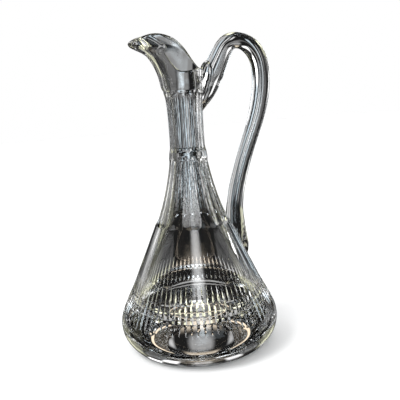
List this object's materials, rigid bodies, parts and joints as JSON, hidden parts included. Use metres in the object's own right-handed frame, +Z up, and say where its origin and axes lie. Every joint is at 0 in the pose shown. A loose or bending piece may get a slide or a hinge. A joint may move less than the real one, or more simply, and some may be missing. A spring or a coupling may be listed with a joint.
{
  "type": "crystal carafe",
  "caption": "Clear cut-crystal carafe for wine or water: wide flared bowl with a band of cuts, slim fluted neck, pulled pouring spout and a tall applied glass handle.",
  "frame": {"origin": "centre of the flat foot ring, on the axis of the bowl", "axes": "+Z up along the axis of the bowl, +X toward the handle, -X toward the spout"},
  "size_m": [0.1681, 0.148, 0.288],
  "materials": {
    "crystal": "clear polished lead crystal with polished cuts"
  },
  "bodies": {
    "root": {"carafe": "crystal"}
  },
  "joints": []
}
